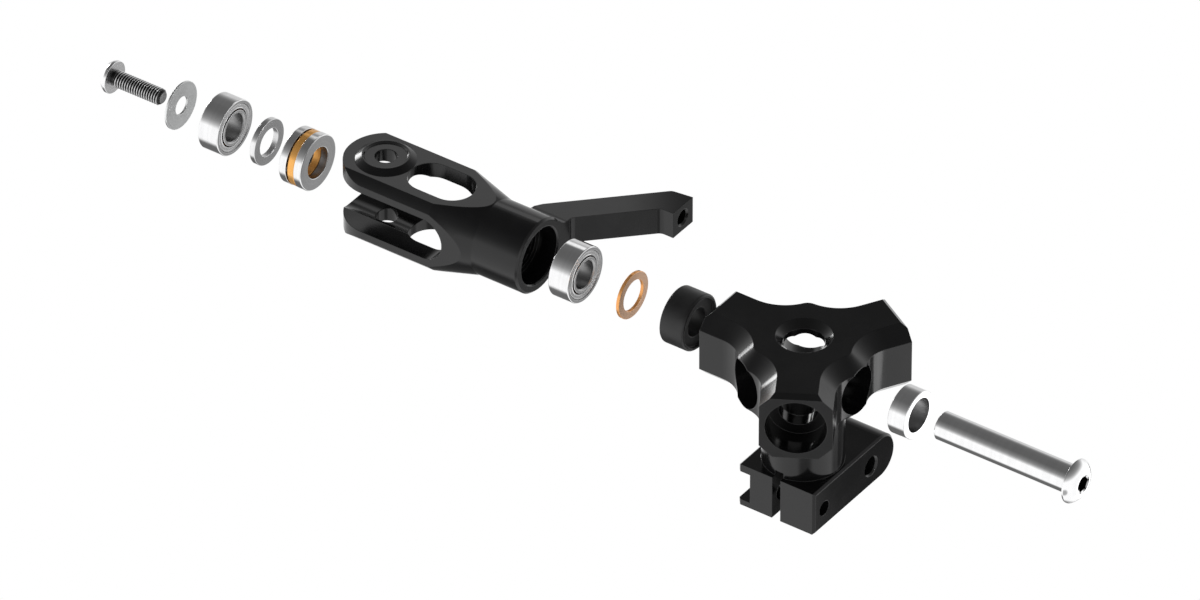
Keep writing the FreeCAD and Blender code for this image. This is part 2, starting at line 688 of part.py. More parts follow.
# Every object is up to date, every cut removes material, every sub-part is valid.
def checkModel():
    for item in doc.Objects:
        if "Invalid" in item.State or "Error" in item.State:
            raise ValueError("%s is %s" % (item.Name, item.State))
    removing = ("Pocket", "Groove", "SubtractiveSphere")
    for item in doc.Objects:
        base = getattr(item, "BaseFeature", None)
        if item.TypeId.startswith("PartDesign::") and base is not None:
            change = item.Shape.Volume - base.Shape.Volume
            cuts = item.TypeId.split("::")[1] in removing
            if abs(change) < 1e-6 or (cuts and change > 0):
                raise ValueError("%s changes its body by %g" % (item.Name, change))
    for body in subParts:
        if body.Shape.isNull() or not body.Shape.isValid():
            raise ValueError("%s has no valid shape" % body.Label)


makeHub()
makeGrip()
makeBearing("inner_bearing", "innerBearingRest")
makeBearing("outer_bearing", "outerBearingRest")
makeThrustBearing()
makeSpindle()
makeScrew()
makeRings()
doc.recompute()
checkModel()

os.makedirs("parts", exist_ok=True)
for body in subParts:
    body.Shape.exportStep("parts/%s.step" % body.Label)
    bounds = body.Shape.BoundBox
    print("%-28s solids %d volume %9.3f x %8.2f..%8.2f y %7.2f..%7.2f z %7.2f..%7.2f" % (
        body.Label, len(body.Shape.Solids), body.Shape.Volume, bounds.XMin, bounds.XMax,
        bounds.YMin, bounds.YMax, bounds.ZMin, bounds.ZMax))
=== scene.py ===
import json
import math

import bpy
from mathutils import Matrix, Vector


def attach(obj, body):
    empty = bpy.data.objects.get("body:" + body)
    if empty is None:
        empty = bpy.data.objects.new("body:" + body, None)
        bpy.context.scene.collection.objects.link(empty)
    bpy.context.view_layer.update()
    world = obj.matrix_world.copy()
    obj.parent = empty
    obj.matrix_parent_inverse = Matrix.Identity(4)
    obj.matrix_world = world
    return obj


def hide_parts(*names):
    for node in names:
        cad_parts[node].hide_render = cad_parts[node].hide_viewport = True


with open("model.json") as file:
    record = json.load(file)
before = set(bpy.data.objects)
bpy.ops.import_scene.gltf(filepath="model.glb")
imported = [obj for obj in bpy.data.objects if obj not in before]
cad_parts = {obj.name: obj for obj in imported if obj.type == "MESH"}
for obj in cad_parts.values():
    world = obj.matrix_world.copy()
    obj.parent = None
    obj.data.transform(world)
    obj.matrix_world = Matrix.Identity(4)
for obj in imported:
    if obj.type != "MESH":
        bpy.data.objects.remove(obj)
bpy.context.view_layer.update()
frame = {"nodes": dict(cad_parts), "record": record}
nodes = frame["nodes"]
print("frame loaded:", len(nodes), "nodes")

spindleHeight = 0.0263     # height of the spindle axis, where every turned piece has its centre
reliefDepth = 0.00001      # how far a bump of full strength stands up
perMetre = 1000            # turned pieces are given in millimetres
shelf = {}                 # finished materials by name


# Node helpers
def newGroup(name, inputs, outputs):
    group = bpy.data.node_groups.new(name, "ShaderNodeTree")
    for label, kind, value in inputs:
        socket = group.interface.new_socket(name=label, in_out="INPUT", socket_type="NodeSocket" + kind)
        if value is not None:
            socket.default_value = value
    for label, kind in outputs:
        group.interface.new_socket(name=label, in_out="OUTPUT", socket_type="NodeSocket" + kind)
    start = group.nodes.new("NodeGroupInput")
    end = group.nodes.new("NodeGroupOutput")
    return group, start.outputs, end.inputs


def emptyTree(owner):
    owner.use_nodes = True
    owner.node_tree.nodes.clear()
    return owner.node_tree


def put(tree, socket, value):
    if isinstance(value, bpy.types.NodeSocket):
        tree.links.new(value, socket)
    else:
        socket.default_value = value


def addNode(tree, kind, settings=None, **sockets):
    # A socket is given by its name, or by its place as _0, _1 and so on
    node = tree.nodes.new("ShaderNode" + kind)
    for name, value in (settings or {}).items():
        setattr(node, name, value)
    for name, value in sockets.items():
        socket = node.inputs[int(name[1:])] if name[0] == "_" else node.inputs[name]
        put(tree, socket, value)
    return node


def placeGroup(tree, group, **sockets):
    return addNode(tree, "Group", {"node_tree": group}, **sockets).outputs


def doMath(tree, operation, *values):
    node = addNode(tree, "Math", {"operation": operation})
    for socket, value in zip(node.inputs, values):
        put(tree, socket, value)
    return node.outputs[0]


def doVector(tree, operation, *values):
    node = addNode(tree, "VectorMath", {"operation": operation})
    for socket, value in zip(node.inputs, values):
        put(tree, socket, value)
    return node.outputs["Value" if operation == "DOT_PRODUCT" else "Vector"]


def scaled(tree, colour, share):
    return addNode(tree, "VectorMath", {"operation": "SCALE"}, _0=colour, Scale=share).outputs["Vector"]


def between(tree, value, low, high, lowOut=0.0, highOut=1.0, smooth=True):
    node = addNode(tree, "MapRange", {"interpolation_type": "SMOOTHSTEP" if smooth else "LINEAR"})
    for socket, entry in zip(node.inputs, (value, low, high, lowOut, highOut)):
        put(tree, socket, entry)
    return node.outputs[0]


def byMask(tree, mask, outside, inside, smooth=True):
    return between(tree, mask, 0.0, 1.0, outside, inside, smooth)


def blendColour(tree, share, first, second):
    node = addNode(tree, "Mix", {"data_type": "RGBA"})
    put(tree, node.inputs["Factor"], share)
    put(tree, node.inputs["A"], first)
    put(tree, node.inputs["B"], second)
    return node.outputs["Result"]


def ramp(tree, value, stops):
    node = addNode(tree, "ValToRGB", Fac=value)
    colours = node.color_ramp
    while len(colours.elements) < len(stops):
        colours.elements.new(0.5)
    for element, (place, shade) in zip(colours.elements, stops):
        element.position = place
        element.color = (shade, shade, shade, 1)
    return node.outputs["Color"]


def relief(tree, height, strength, normal=None):
    bump = addNode(tree, "Bump", Height=height, Strength=strength, Distance=reliefDepth)
    if normal is not None:
        tree.links.new(normal, bump.inputs["Normal"])
    return bump.outputs[0]


# The studio's light as seen from the object: pale from the floor up to just over the horizon, dark above
studio = {
    "strength": 1.1,
    # Height, from 0 straight down to 1 straight up, and the light there
    "bands": ((0.0, 1.0), (0.587, 1.0), (0.67, 0.56), (0.742, 0.32), (0.794, 0.23), (0.877, 0.15),
              (0.924, 0.11), (1.0, 0.11)),
    # Darker patches: azimuth, elevation, share of light taken, degrees to the core's edge and the outer edge
    "shades": (
        (175, -68, 0.87, 20, 38),
        (53, -37, 0.69, 10, 22),
        (-50, -36, 0.62, 6, 18),
        (125, 12, 0.4, 20, 50),
        (88, -32, 0.75, 5, 15),
    ),
    "floorDrop": 1.0,       # from the spindle axis down to the floor
    "floorSize": 60.0,
}

# Seen directly, the backdrop is plain white. Polished metal shows it too, up to the horizon, and the studio's
# darker upper half over it.
paleBackdrop = [1 / studio["strength"]] * 3 + [1]


def aim(azimuth, elevation):
    a, e = math.radians(azimuth), math.radians(elevation)
    return Vector((math.cos(a) * math.cos(e), math.sin(a) * math.cos(e), math.sin(e)))


def makeStudioGroup():
    group, given, out = newGroup("studioGlow", [("Direction", "Vector", None)], [("Color", "Color")])
    along = doVector(group, "NORMALIZE", given["Direction"])
    rise = addNode(group, "SeparateXYZ", _0=along).outputs["Z"]
    glow = ramp(group, doMath(group, "MULTIPLY_ADD", rise, 0.5, 0.5), studio["bands"])
    for azimuth, elevation, depth, core, edge in studio["shades"]:
        near = doVector(group, "DOT_PRODUCT", along, tuple(aim(azimuth, elevation)))
        limits = [math.cos(math.radians(angle)) for angle in (edge, core)]
        glow = scaled(group, glow, between(group, near, *limits, 1.0, 1.0 - depth))
    group.links.new(glow, out["Color"])
    return group


def backdropShade(tree, glow, direction):
    rays = addNode(tree, "LightPath").outputs
    seenDirectly = doMath(tree, "MAXIMUM", rays["Is Camera Ray"], rays["Is Transmission Ray"])
    light = placeGroup(tree, glow, Direction=direction)["Color"]
    return blendColour(tree, seenDirectly, light, paleBackdrop)


def makeWorld(glow):
    world = bpy.data.worlds.new("studio")
    tree = emptyTree(world)
    away = addNode(tree, "TexCoord").outputs["Generated"]
    emit = addNode(tree, "Background", Color=backdropShade(tree, glow, away), Strength=studio["strength"])
    addNode(tree, "OutputWorld", Surface=emit.outputs[0])
    bpy.context.scene.world = world


def flatMesh(name, halfWidth, halfHeight, z, paint):
    mesh = bpy.data.meshes.new(name)
    corners = [(-halfWidth, -halfHeight, z), (halfWidth, -halfHeight, z),
               (halfWidth, halfHeight, z), (-halfWidth, halfHeight, z)]
    mesh.from_pydata(corners, [], [(0, 1, 2, 3)])
    mesh.materials.append(paint)
    return mesh


def makeFloor(glow):
    paint = bpy.data.materials.new("pale_floor")
    tree = emptyTree(paint)
    spot = addNode(tree, "NewGeometry").outputs
    away = doVector(tree, "SUBTRACT", spot["Position"], (0, 0, spindleHeight))
    emit = addNode(tree, "Emission", Color=backdropShade(tree, glow, away), Strength=studio["strength"])
    clear = addNode(tree, "BsdfTransparent")
    mixed = addNode(tree, "MixShader", _0=spot["Backfacing"], _1=emit.outputs[0], _2=clear.outputs[0])
    addNode(tree, "OutputMaterial", Surface=mixed.outputs[0])
    half = studio["floorSize"] / 2
    mesh = flatMesh("floor", half, half, spindleHeight - studio["floorDrop"], paint)
    floor = bpy.data.objects.new("floor", mesh)
    bpy.context.scene.collection.objects.link(floor)


# Lamps stand far off, aimed at the point they face
lamps = {
    "rimStrip": {"faces": (-0.03, 0, spindleHeight), "azimuth": 160, "elevation": 4, "distance": 1.2,
                 "width": 0.25, "height": 0.7, "watts": 5.0, "inReflections": True},
    "softFill": {"faces": (0, 0, 0), "azimuth": -100, "elevation": 50, "distance": 1.8,
                 "width": 1.5, "height": 1.5, "watts": 6.0, "inReflections": False},
}

# A panel and two cards stand close to the row. Across and upward are their limits to the sides of the line
# from the point they face. The edges of a card fade out over the width in fade, and the panel's do not.
closeBy = {
    "headPanel": {"faces": (0.0563, 0, 0.0263), "azimuth": 54.8, "elevation": -36.6, "distance": 0.05,
                  "across": (-0.012, 0.033), "upward": (-0.024, 0.03), "glow": 1.7, "fade": 0},
    "darkCard": {"faces": (0.0563, 0, 0.0263), "azimuth": 54.8, "elevation": -36.6, "distance": 0.05,
                 "across": (0.035, 0.071), "upward": (-0.057, -0.006), "glow": 0.09, "fade": 0.004},
    "gripCard": {"faces": (-0.065, 0, 0.03), "azimuth": 125.2, "elevation": 36.6, "distance": 0.08,
                 "across": (-0.037, 0.038), "upward": (-0.022, 0.018), "glow": 1.0, "fade": 0.014},
}


def hangUp(item, place, direction):
    item.location = place
    item.rotation_euler = direction.to_track_quat("Z", "Y").to_euler()
    item.visible_camera = False
    bpy.context.scene.collection.objects.link(item)


def addPanel(name, place, direction, width, height, watts):
    lamp = bpy.data.lights.new(name, "AREA")
    lamp.shape = "RECTANGLE"
    lamp.size, lamp.size_y, lamp.energy = width, height, watts
    holder = bpy.data.objects.new(name, lamp)
    hangUp(holder, place, direction)
    return holder


def addCard(name, place, direction, width, height, glow, fade):
    # A glowing card whose edges fade into what lies behind it
    paint = bpy.data.materials.new(name)
    tree = emptyTree(paint)
    spot = addNode(tree, "SeparateXYZ", _0=addNode(tree, "TexCoord").outputs["Object"]).outputs
    halves = {"X": width / 2, "Y": height / 2}
    inside = [between(tree, doMath(tree, "ABSOLUTE", spot[axis]), half, half - fade)
              for axis, half in halves.items()]
    emit = addNode(tree, "Emission", Strength=glow)
    clear = addNode(tree, "BsdfTransparent")
    solid = doMath(tree, "MULTIPLY", *inside)
    mixed = addNode(tree, "MixShader", _0=solid, _1=clear.outputs[0], _2=emit.outputs[0])
    addNode(tree, "OutputMaterial", Surface=mixed.outputs[0])
    card = bpy.data.objects.new(name, flatMesh(name, halves["X"], halves["Y"], 0, paint))
    hangUp(card, place, direction)
    card.visible_shadow = False
    card.visible_diffuse = False


def makeLamps():
    for name, lamp in lamps.items():
        direction = aim(lamp["azimuth"], lamp["elevation"])
        place = Vector(lamp["faces"]) + direction * lamp["distance"]
        holder = addPanel(name, place, direction, lamp["width"], lamp["height"], lamp["watts"])
        holder.visible_glossy = lamp["inReflections"]
    for name, card in closeBy.items():
        direction = aim(card["azimuth"], card["elevation"])
        across = Vector((0, 0, 1)).cross(direction).normalized()
        upward = direction.cross(across)
        (left, right), (low, high) = card["across"], card["upward"]
        width, height = right - left, high - low
        place = Vector(card["faces"]) + direction * card["distance"]
        place += across * (left + right) / 2 + upward * (low + high) / 2
        if card["fade"]:
            addCard(name, place, direction, width, height, card["glow"], card["fade"])
        else:
            addPanel(name, place, direction, width, height, card["glow"] * math.pi * width * height)


# The camera looks down from the front right through a long lens. Right and up move the hub in the picture.
view = {"azimuth": 35.2289, "elevation": 36.571, "distance": 2.3681, "right": 0.0330, "up": 0.01084,
        "lens": 439.05, "sensor": 36, "clip": (0.1, 200)}


def makeCamera():
    a, e = math.radians(view["azimuth"]), math.radians(view["elevation"])
    right = Vector((math.cos(a), math.sin(a), 0))
    back = Vector((math.sin(a) * math.cos(e), -math.cos(a) * math.cos(e), math.sin(e)))
    up = back.cross(right)
    camera = bpy.data.objects.new("camera", bpy.data.cameras.new("camera"))
    camera.data.lens = view["lens"]
    camera.data.sensor_width = view["sensor"]
    camera.data.clip_start, camera.data.clip_end = view["clip"]
    camera.location = (Vector((0, 0, spindleHeight)) + back * view["distance"]
                       - right * view["right"] + up * view["up"])
    camera.rotation_mode = "QUATERNION"
    camera.rotation_quaternion = back.to_track_quat("Z", "Y")
    bpy.context.scene.collection.objects.link(camera)
    bpy.context.scene.camera = camera


studioGlow = makeStudioGroup()
makeWorld(studioGlow)
makeFloor(studioGlow)
makeLamps()
makeCamera()
bpy.context.scene.view_settings.view_transform = "Standard"
print("studio and camera made")


# Effects that several finishes share
effects = {
    "edgeSamples": 6,
    "edgeMatch": (0.995, 0.8),      # how well rounded and flat normals match, beside an edge and on it
    "grainDetail": 2.0,
    "grainRoughness": 0.6,
    "patchDetail": 3.0,
    "patchRoughness": 0.55,
    "patchRange": (0.3, 0.7),       # part of the noise that fades from no patch to a full one
    "ringSlant": 0.83,              # way along the axis against way out from it, in the count of rings
    "ringDetail": 2.0,
    "bandDetail": 1.0,
    "bandsPerRing": 0.13,
    "endLean": (0.85, 0.98),        # how far a normal lies along the axis, on round sides and on ends
    "boreLean": (-0.3, -0.8),       # how far a normal points away from the axis, outside and in a bore
}


def makeSoftEdge():
    group, given, out = newGroup("softEdge", [("Radius", "Float", 0.0001)],
                                 [("Normal", "Vector"), ("Edge", "Float")])
    rounded = addNode(group, "Bevel", {"samples": effects["edgeSamples"]}, Radius=given["Radius"]).outputs[0]
    flat = addNode(group, "NewGeometry").outputs["Normal"]
    match = doVector(group, "DOT_PRODUCT", rounded, flat)
    group.links.new(rounded, out["Normal"])
    group.links.new(between(group, match, *effects["edgeMatch"]), out["Edge"])
    return group


def makeFineGrain():
    group, given, out = newGroup("fineGrain", [("Size", "Float", 0.0001), ("Patches", "Float", 0.004)],
                                 [("Grain", "Float"), ("Patches", "Float")])
    place = addNode(group, "TexCoord").outputs["Object"]
    small = addNode(group, "TexNoise", Vector=place, Scale=doMath(group, "DIVIDE", 1.0, given["Size"]),
                    Detail=effects["grainDetail"], Roughness=effects["grainRoughness"])
    large = addNode(group, "TexNoise", Vector=place, Scale=doMath(group, "DIVIDE", 1.0, given["Patches"]),
                    Detail=effects["patchDetail"], Roughness=effects["patchRoughness"])
    group.links.new(small.outputs[0], out["Grain"])
    group.links.new(between(group, large.outputs[0], *effects["patchRange"]), out["Patches"])
    return group


def lineNoise(tree, place, detail):
    return addNode(tree, "TexNoise", {"noise_dimensions": "1D"}, W=place, Scale=1.0, Detail=detail).outputs[0]


def makeTurnedMarks():
    # Rings left by the lathe about the spindle axis, on ends and on round sides
    group, given, out = newGroup("turnedMarks", [("Step", "Float", 0.0001)],
                                 [("Rings", "Float"), ("Bands", "Float"), ("Ends", "Float"),
                                  ("Bore", "Float"), ("Radius", "Float")])
    spot = addNode(group, "TexCoord").outputs
    parts = addNode(group, "SeparateXYZ", _0=spot["Object"]).outputs
    lean = addNode(group, "SeparateXYZ", _0=spot["Normal"]).outputs
    rise = doMath(group, "SUBTRACT", parts["Z"], spindleHeight)
    flat = doMath(group, "MULTIPLY", parts["Y"], parts["Y"])
    radius = doMath(group, "SQRT", doMath(group, "MULTIPLY_ADD", rise, rise, flat))
    along = doMath(group, "MULTIPLY_ADD", parts["X"], effects["ringSlant"], radius)
    steps = doMath(group, "DIVIDE", along, given["Step"])
    group.links.new(lineNoise(group, steps, effects["ringDetail"]), out["Rings"])
    broad = lineNoise(group, doMath(group, "MULTIPLY", steps, effects["bandsPerRing"]), effects["bandDetail"])
    group.links.new(between(group, broad, *effects["patchRange"]), out["Bands"])
    endways = doMath(group, "ABSOLUTE", lean["X"])
    group.links.new(between(group, endways, *effects["endLean"]), out["Ends"])
    sideways = doMath(group, "MULTIPLY", parts["Y"], lean["Y"])
    outward = doMath(group, "DIVIDE", doMath(group, "MULTIPLY_ADD", rise, lean["Z"], sideways), radius)
    group.links.new(between(group, outward, *effects["boreLean"]), out["Bore"])
    group.links.new(radius, out["Radius"])
    return group


softEdge = makeSoftEdge()
fineGrain = makeFineGrain()
turnedMarks = makeTurnedMarks()


def startMaterial(name):
    material = bpy.data.materials.new(name)
    tree = emptyTree(material)
    shader = addNode(tree, "BsdfPrincipled")
    addNode(tree, "OutputMaterial", Surface=shader.outputs[0])
    shelf[name] = material
    return tree, shader.inputs


# Black anodised aluminium: matt grain in the film; edges lighter, partly polished by handling and partly a
# painted highlight
blackAnodised = {"colour": (0.004, 0.004, 0.0042, 1), "patchColour": (0.006, 0.006, 0.0063, 1),
                 "edgeWearAndSheen": (0.02, 0.02, 0.0205, 1), "edgeRadius": 0.00015, "roughness": 0.13,
                 "patchRoughness": 0.19, "grain": 0.00011, "patches": 0.006, "bump": 0.04, "ior": 1.46}


def makeBlackAnodised():
    size = blackAnodised
    tree, sockets = startMaterial("black_anodised")
    edge = placeGroup(tree, softEdge, Radius=size["edgeRadius"])
    grain = placeGroup(tree, fineGrain, Size=size["grain"], Patches=size["patches"])
    film = blendColour(tree, grain["Patches"], size["colour"], size["patchColour"])
    # Lighter edges: worn film together with a painted highlight
    put(tree, sockets["Base Color"], blendColour(tree, edge["Edge"], film, size["edgeWearAndSheen"]))
    rough = byMask(tree, grain["Patches"], size["roughness"], size["patchRoughness"], smooth=False)
    put(tree, sockets["Roughness"], rough)
    put(tree, sockets["IOR"], size["ior"])
    put(tree, sockets["Normal"], relief(tree, grain["Grain"], size["bump"], edge["Normal"]))


# Rubber of the damper: dull all over, and duller where handling has left it dusky
rubber = {"colour": (0.006, 0.006, 0.0062, 1), "duskyColour": (0.009, 0.009, 0.0093, 1),
          "edgeRadius": 0.00025, "roughness": 0.36, "duskyRoughness": 0.48, "grain": 0.00015,
          "patches": 0.003, "bump": 0.2, "ior": 1.5}


def makeRubber():
    size = rubber
    tree, sockets = startMaterial("damper_rubber")
    edge = placeGroup(tree, softEdge, Radius=size["edgeRadius"])
    grain = placeGroup(tree, fineGrain, Size=size["grain"], Patches=size["patches"])
    colour = blendColour(tree, grain["Patches"], size["colour"], size["duskyColour"])
    put(tree, sockets["Base Color"], colour)
    rough = byMask(tree, grain["Patches"], size["roughness"], size["duskyRoughness"])
    put(tree, sockets["Roughness"], rough)
    put(tree, sockets["IOR"], size["ior"])
    put(tree, sockets["Normal"], relief(tree, grain["Grain"], size["bump"], edge["Normal"]))


# Metals. The ends lie across the spindle axis, and the sides go round it with a roughness from low to high.
# A bore keeps only a share of the colour; the rest is painted shade. Sockets and grooves inside the dark
# radius, in millimetres, are darkened with painted shade; 0 is for none. Below 1, sideMetal lets the sides
# keep more of their own colour.
metals = {
    "bright_steel": {"ends": (0.93, 0.93, 0.935), "sides": (0.92, 0.92, 0.925), "sideRoughness": (0.07, 0.1),
                     "endRoughness": 0.08, "boreShadeKept": 0.36, "paintedShadeRadius": 1.82, "ringStep": 0.00009,
                     "ringHeight": 0.02, "sideMetal": 1},
    "race_steel": {"ends": (0.72, 0.72, 0.725), "sides": (0.9, 0.9, 0.905), "sideRoughness": (0.1, 0.15),
                   "endRoughness": 0.2, "boreShadeKept": 0.38, "paintedShadeRadius": 0, "ringStep": 0.00008,
                   "ringHeight": 0.03, "sideMetal": 1},
    "spacer_steel": {"ends": (0.6, 0.6, 0.605), "sides": (0.84, 0.84, 0.845), "sideRoughness": (0.1, 0.15),
                     "endRoughness": 0.22, "boreShadeKept": 0.9, "paintedShadeRadius": 0, "ringStep": 0.00008,
                     "ringHeight": 0.03, "sideMetal": 1},
    "shield_steel": {"ends": (0.84, 0.84, 0.845), "sides": (0.8, 0.8, 0.805), "sideRoughness": (0.2, 0.26),
                     "endRoughness": 0.26, "boreShadeKept": 0.4, "paintedShadeRadius": 0, "ringStep": 0.00006,
                     "ringHeight": 0.03, "sideMetal": 1},
    "washer_steel": {"ends": (0.76, 0.77, 0.77), "sides": (0.82, 0.83, 0.83), "sideRoughness": (0.28, 0.36),
                     "endRoughness": 0.34, "boreShadeKept": 0.8, "paintedShadeRadius": 0, "ringStep": 0.0001,
                     "ringHeight": 0.08, "sideMetal": 1},
    "screw_steel": {"ends": (0.92, 0.92, 0.925), "sides": (0.95, 0.95, 0.955), "sideRoughness": (0.12, 0.18),
                    "endRoughness": 0.26, "boreShadeKept": 0.3, "paintedShadeRadius": 1.52, "ringStep": 0.00012,
                    "ringHeight": 0.02, "sideMetal": 1},
    # The balls' steel is darkened: painted shade for balls lying deep between the races
    "ball_steel": {"ends": (0.3, 0.3, 0.305), "sides": (0.3, 0.3, 0.305), "sideRoughness": (0.05, 0.08),
                   "endRoughness": 0.1, "boreShadeKept": 1.0, "paintedShadeRadius": 0, "ringStep": 0.0003,
                   "ringHeight": 0.01, "sideMetal": 1},
    "copper": {"ends": (1.0, 0.66, 0.45), "sides": (1.0, 0.46, 0.15), "sideRoughness": (0.12, 0.18),
               "endRoughness": 0.38, "boreShadeKept": 1.0, "paintedShadeRadius": 0, "ringStep": 0.00008,
               "ringHeight": 0.05, "sideMetal": 0.6},
    "cage_brass": {"ends": (1.0, 0.52, 0.14), "sides": (1.0, 0.5, 0.13), "sideRoughness": (0.13, 0.18),
                   "endRoughness": 0.3, "boreShadeKept": 1.0, "paintedShadeRadius": 0, "ringStep": 0.00009,
                   "ringHeight": 0.03, "sideMetal": 0.6},
}
# What all the metals share: wear, and the painted shade of sockets and grooves, which fades in over a width in
# millimetres.
metalWearAndShade = {"grain": 0.00008, "patches": 0.0025, "bandShare": 0.5, "bandShade": 0.93, "boreRoughness": 0.32,
             "paintedShadeFade": 0.2, "paintedShadeKept": 0.04, "paintedShadeOnEnds": 0.6}


def keptUnderPaintedShade(tree, marks, paintedShadeRadius):
    # Share of colour that is left in a socket or groove under its painted shade
    limits = [reach / perMetre for reach in (paintedShadeRadius, paintedShadeRadius - metalWearAndShade["paintedShadeFade"])]
    deep = between(tree, marks["Radius"], *limits)
    most = byMask(tree, marks["Ends"], 1.0, metalWearAndShade["paintedShadeOnEnds"])
    lost = doMath(tree, "MULTIPLY", doMath(tree, "MULTIPLY", deep, most), 1.0 - metalWearAndShade["paintedShadeKept"])
    return doMath(tree, "SUBTRACT", 1.0, lost)


def makeMetal(name, size):
    tree, sockets = startMaterial(name)
    marks = placeGroup(tree, turnedMarks, Step=size["ringStep"])
    grain = placeGroup(tree, fineGrain, Size=metalWearAndShade["grain"], Patches=metalWearAndShade["patches"])
    patchPart = doMath(tree, "MULTIPLY", grain["Patches"], 1.0 - metalWearAndShade["bandShare"])
    wear = doMath(tree, "MULTIPLY_ADD", marks["Bands"], metalWearAndShade["bandShare"], patchPart)
    shade = blendColour(tree, marks["Ends"], (*size["sides"], 1), (*size["ends"], 1))
    kept = byMask(tree, wear, 1.0, metalWearAndShade["bandShade"])
    # Inside a bore only a share of the colour stays: painted shade
    kept = doMath(tree, "MULTIPLY", kept, byMask(tree, marks["Bore"], 1.0, size["boreShadeKept"]))
    # Sockets, the tapped hole and thread roots are darkened with painted shade
    if size["paintedShadeRadius"]:
        kept = doMath(tree, "MULTIPLY", kept, keptUnderPaintedShade(tree, marks, size["paintedShadeRadius"]))
    put(tree, sockets["Base Color"], scaled(tree, shade, kept))
    rough = byMask(tree, wear, *size["sideRoughness"])
    rough = byMask(tree, marks["Ends"], rough, size["endRoughness"], smooth=False)
    rough = byMask(tree, marks["Bore"], rough, metalWearAndShade["boreRoughness"], smooth=False)
    put(tree, sockets["Roughness"], rough)
    if size["sideMetal"] < 1:
        put(tree, sockets["Metallic"], byMask(tree, marks["Ends"], size["sideMetal"], 1.0))
    else:
        put(tree, sockets["Metallic"], 1.0)
    put(tree, sockets["Normal"], relief(tree, marks["Rings"], size["ringHeight"]))


makeBlackAnodised()
makeRubber()
for metalName, metal in metals.items():
    makeMetal(metalName, metal)
print("finishes made:", len(shelf))


# Every CAD node takes the finish of its own slot
def dressNodes():
    slots = {part["node"]: part["material_slot"] for part in frame["record"]["subparts"]}
    for name, item in nodes.items():
        item.data.materials.clear()
        item.data.materials.append(shelf[slots[name]])


dressNodes()


# Turned pieces are made finer than the CAD mesh. A profile corner is (along, radius) in millimetres, with its
# rounding after them where the corner is broken, or "soft" where a curve runs on. Along starts at the place of
# the piece, and the metal lies on the right of the way that a profile runs.
turnedLook = {"sides": 144, "roundingSteps": 4, "grooveSteps": 8}
noNormal = Vector((0, 0))     # leaves a corner's normal to the mesh itself


def leftOf(run):
    return Vector((-run.y, run.x)).normalized()


def sweepTo(first, last):
    return math.atan2(first.x * last.y - first.y * last.x, first.dot(last))


def swung(spoke, angle):
    c, s = math.cos(angle), math.sin(angle)
    return spoke.x * c - spoke.y * s, spoke.x * s + spoke.y * c


def roundCorner(before, here, after, rounding):
    toBefore, toAfter = (before - here).normalized(), (after - here).normalized()
    half = toBefore.angle(toAfter) / 2
    centre = here + (toBefore + toAfter).normalized() * (rounding / math.sin(half))
    first = here + toBefore * (rounding / math.tan(half)) - centre
    last = here + toAfter * (rounding / math.tan(half)) - centre
    side = 1 if first.dot(leftOf(here - before)) > 0 else -1
    sweep = sweepTo(first, last)
    steps = turnedLook["roundingSteps"]
    path = []
    for step in range(steps + 1):
        spoke = Vector(swung(first, sweep * step / steps))
        path.append((centre + spoke, spoke.normalized() * side))
    return path


def arcCorners(start, end, radius, steps):
    # Corners of an arc that bulges to the left of the way from start to end, without its ends
    start, end = Vector(start), Vector(end)
    chord = end - start
    drop = math.sqrt(radius ** 2 - chord.length ** 2 / 4)
    centre = (start + end) / 2 - leftOf(chord) * drop
    first, last = start - centre, end - centre
    sweep = sweepTo(first, last)
    corners = []
    for step in range(1, steps):
        x, y = swung(first, sweep * step / steps)
        corners.append((centre.x + x, centre.y + y, "soft"))
    return corners


def raceGroove(start, end, radius):
    # Groove for balls, sunk into the metal between start and end; radius is that of its section
    return [start, *reversed(arcCorners(end, start, radius, turnedLook["grooveSteps"])), end]


def mirrored(corners, width):
    return [(-width - corner[0], *corner[1:]) for corner in reversed(corners)]


def tracePath(corners, closed):
    # Places along the profile with their normals; at a sharp corner there is none
    places = [Vector(corner[:2]) for corner in corners]
    path = []
    for index, corner in enumerate(corners):
        rounding = (*corner, 0)[2]
        before, here, after = places[index - 1], places[index], places[(index + 1) % len(places)]
        if rounding == "soft":
            path.append((here, (leftOf(here - before) + leftOf(after - here)).normalized()))
        elif rounding:
            path += roundCorner(before, here, after, rounding)
        else:
            path.append((here, None))
    if closed:
        path.append(path[0])
    return path


